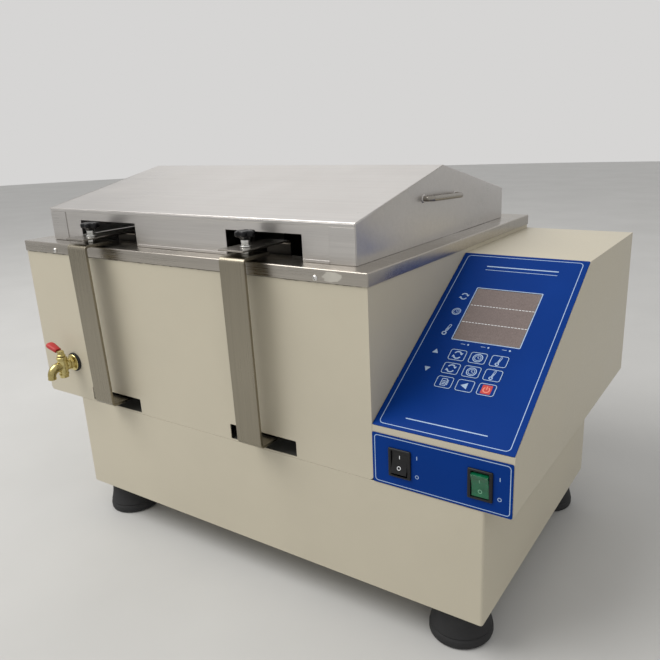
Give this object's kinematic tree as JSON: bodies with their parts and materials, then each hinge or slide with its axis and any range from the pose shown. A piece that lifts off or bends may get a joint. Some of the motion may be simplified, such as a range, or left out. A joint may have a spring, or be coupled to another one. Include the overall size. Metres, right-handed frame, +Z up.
{
  "type": "water bath",
  "caption": "Shaking laboratory water bath: beige casing over a base on rubber feet, gable steel lid, arms carrying a flask rack, slanted control panel, rocker switches, drain tap.",
  "frame": {"origin": "centre of the bounding box's underside, on the ground under the feet", "axes": "+X towards the control box at the operator's right, +Y to the rear, +Z up"},
  "size_m": [0.7014, 0.5214, 0.4795],
  "materials": {
    "beige_paint": "satin",
    "stainless": "satin",
    "dark_steel": "satin",
    "aluminium": "satin",
    "brass": "polished",
    "blue_film": "satin",
    "smoked_window": "gloss",
    "black_plastic": "satin",
    "green_plastic": "gloss",
    "red_plastic": "matte",
    "black_rubber": "matte",
    "mineral_wool": "matte",
    "circuit_board": "matte"
  },
  "bodies": {
    "housing": {"base_shell": "beige_paint", "base_plate": "beige_paint", "foot_front_left": "black_rubber", "foot_front_right": "black_rubber", "foot_rear_left": "black_rubber", "foot_rear_right": "black_rubber", "tank_casing": "beige_paint", "tank_deck": "dark_steel", "insulation": "mineral_wool", "inner_tank": "stainless", "heater": "stainless", "temperature_probe": "stainless", "rim_cap": "stainless", "control_box": "beige_paint", "panel_overlay": "blue_film", "display_window": "smoked_window", "display_module": "black_plastic", "control_board": "circuit_board", "switch_overlay": "blue_film", "heater_switch_bezel": "black_plastic", "power_switch_bezel": "black_plastic", "power_inlet": "black_plastic", "fuse_holder": "black_plastic", "tap_washer": "black_rubber", "tap_body": "brass", "guide_rail_front": "aluminium", "guide_rail_rear": "aluminium", "crank_bearing": "aluminium", "motor": "dark_steel", "motor_mount": "dark_steel", "drive_belt": "black_rubber"},
    "carriage": {"carriage_plate": "dark_steel", "rack_tray": "stainless", "arm_front_left": "stainless", "arm_front_right": "stainless", "arm_rear_left": "stainless", "arm_rear_right": "stainless"},
    "crank": {"crank_disc": "dark_steel", "crank_pulley": "aluminium"},
    "motor_drive": {"motor_pulley": "aluminium"},
    "lid": {"lid": "stainless", "lid_handle_left": "stainless", "lid_handle_right": "stainless"},
    "tap_handle": {"tap_lever": "brass", "tap_sleeve": "red_plastic"},
    "heater_switch": {"heater_switch_rocker": "black_plastic"},
    "power_switch": {"power_switch_rocker": "green_plastic"},
    "knob_front_left": {"knob_front_left": "black_plastic"},
    "knob_front_right": {"knob_front_right": "black_plastic"},
    "knob_rear_left": {"knob_rear_left": "black_plastic"},
    "knob_rear_right": {"knob_rear_right": "black_plastic"},
    "key_upper_left": {"key_upper_left": "blue_film"},
    "key_upper_middle": {"key_upper_middle": "blue_film"},
    "key_upper_right": {"key_upper_right": "blue_film"},
    "key_centre_left": {"key_centre_left": "blue_film"},
    "key_centre_middle": {"key_centre_middle": "blue_film"},
    "key_centre_right": {"key_centre_right": "blue_film"},
    "key_lower_left": {"key_lower_left": "blue_film"},
    "key_lower_middle": {"key_lower_middle": "blue_film"},
    "key_lower_right": {"key_lower_right": "blue_film"}
  },
  "joints": [
    {"name": "shake", "type": "slide", "parent": "housing", "child": "carriage", "axis": [1, 0, 0], "range_m": [-0.02, 0.02]},
    {"name": "crank_turn", "type": "hinge", "parent": "housing", "child": "crank", "pos_m": [-0.07535, 0.00925, 0.175], "axis": [0, 0, 1], "range_deg": [-90, 90]},
    {"name": "motor_turn", "type": "hinge", "parent": "housing", "child": "motor_drive", "pos_m": [0.07465, 0.00925, 0.175], "axis": [0, 0, 1], "range_deg": [-270, 270]},
    {"name": "knob_front_left_turn", "type": "hinge", "parent": "carriage", "child": "knob_front_left", "pos_m": [-0.20335, -0.2172, 0.408], "axis": [0, 0, 1], "continuous": true},
    {"name": "knob_front_right_turn", "type": "hinge", "parent": "carriage", "child": "knob_front_right", "pos_m": [0.05265, -0.2172, 0.408], "axis": [0, 0, 1], "continuous": true},
    {"name": "knob_rear_left_turn", "type": "hinge", "parent": "carriage", "child": "knob_rear_left", "pos_m": [-0.20335, 0.2357, 0.408], "axis": [0, 0, 1], "continuous": true},
    {"name": "knob_rear_right_turn", "type": "hinge", "parent": "carriage", "child": "knob_rear_right", "pos_m": [0.05265, 0.2357, 0.408], "axis": [0, 0, 1], "continuous": true},
    {"name": "lid_lift", "type": "slide", "parent": "housing", "child": "lid", "axis": [0, 0, 1], "range_m": [0, 0.15]},
    {"name": "tap_turn", "type": "hinge", "parent": "housing", "child": "tap_handle", "pos_m": [-0.28235, -0.2367, 0.245], "axis": [0, 0, 1], "range_deg": [0, 90]},
    {"name": "heater_switch_rock", "type": "hinge", "parent": "housing", "child": "heater_switch", "pos_m": [0.23315, -0.2112, 0.2033], "axis": [1, 0, 0], "range_deg": [0, 18]},
    {"name": "power_switch_rock", "type": "hinge", "parent": "housing", "child": "power_switch", "pos_m": [0.31845, -0.2112, 0.2033], "axis": [1, 0, 0], "range_deg": [-18, 0]},
    {"name": "key_upper_left_press", "type": "slide", "parent": "housing", "child": "key_upper_left", "axis": [0, 0.512, -0.859], "range_m": [0, 0.0005], "stiffness_N_per_m": 400, "springref_m": -0.0005},
    {"name": "key_upper_middle_press", "type": "slide", "parent": "housing", "child": "key_upper_middle", "axis": [0, 0.512, -0.859], "range_m": [0, 0.0005], "stiffness_N_per_m": 400, "springref_m": -0.0005},
    {"name": "key_upper_right_press", "type": "slide", "parent": "housing", "child": "key_upper_right", "axis": [0, 0.512, -0.859], "range_m": [0, 0.0005], "stiffness_N_per_m": 400, "springref_m": -0.0005},
    {"name": "key_centre_left_press", "type": "slide", "parent": "housing", "child": "key_centre_left", "axis": [0, 0.512, -0.859], "range_m": [0, 0.0005], "stiffness_N_per_m": 400, "springref_m": -0.0005},
    {"name": "key_centre_middle_press", "type": "slide", "parent": "housing", "child": "key_centre_middle", "axis": [0, 0.512, -0.859], "range_m": [0, 0.0005], "stiffness_N_per_m": 400, "springref_m": -0.0005},
    {"name": "key_centre_right_press", "type": "slide", "parent": "housing", "child": "key_centre_right", "axis": [0, 0.512, -0.859], "range_m": [0, 0.0005], "stiffness_N_per_m": 400, "springref_m": -0.0005},
    {"name": "key_lower_left_press", "type": "slide", "parent": "housing", "child": "key_lower_left", "axis": [0, 0.512, -0.859], "range_m": [0, 0.0005], "stiffness_N_per_m": 400, "springref_m": -0.0005},
    {"name": "key_lower_middle_press", "type": "slide", "parent": "housing", "child": "key_lower_middle", "axis": [0, 0.512, -0.859], "range_m": [0, 0.0005], "stiffness_N_per_m": 400, "springref_m": -0.0005},
    {"name": "key_lower_right_press", "type": "slide", "parent": "housing", "child": "key_lower_right", "axis": [0, 0.512, -0.859], "range_m": [0, 0.0005], "stiffness_N_per_m": 400, "springref_m": -0.0005}
  ],
  "couplings": [
    {"joint": "crank_turn", "follows": "shake", "rad_per_m": 78.5},
    {"joint": "motor_turn", "follows": "shake", "rad_per_m": 235.5}
  ]
}
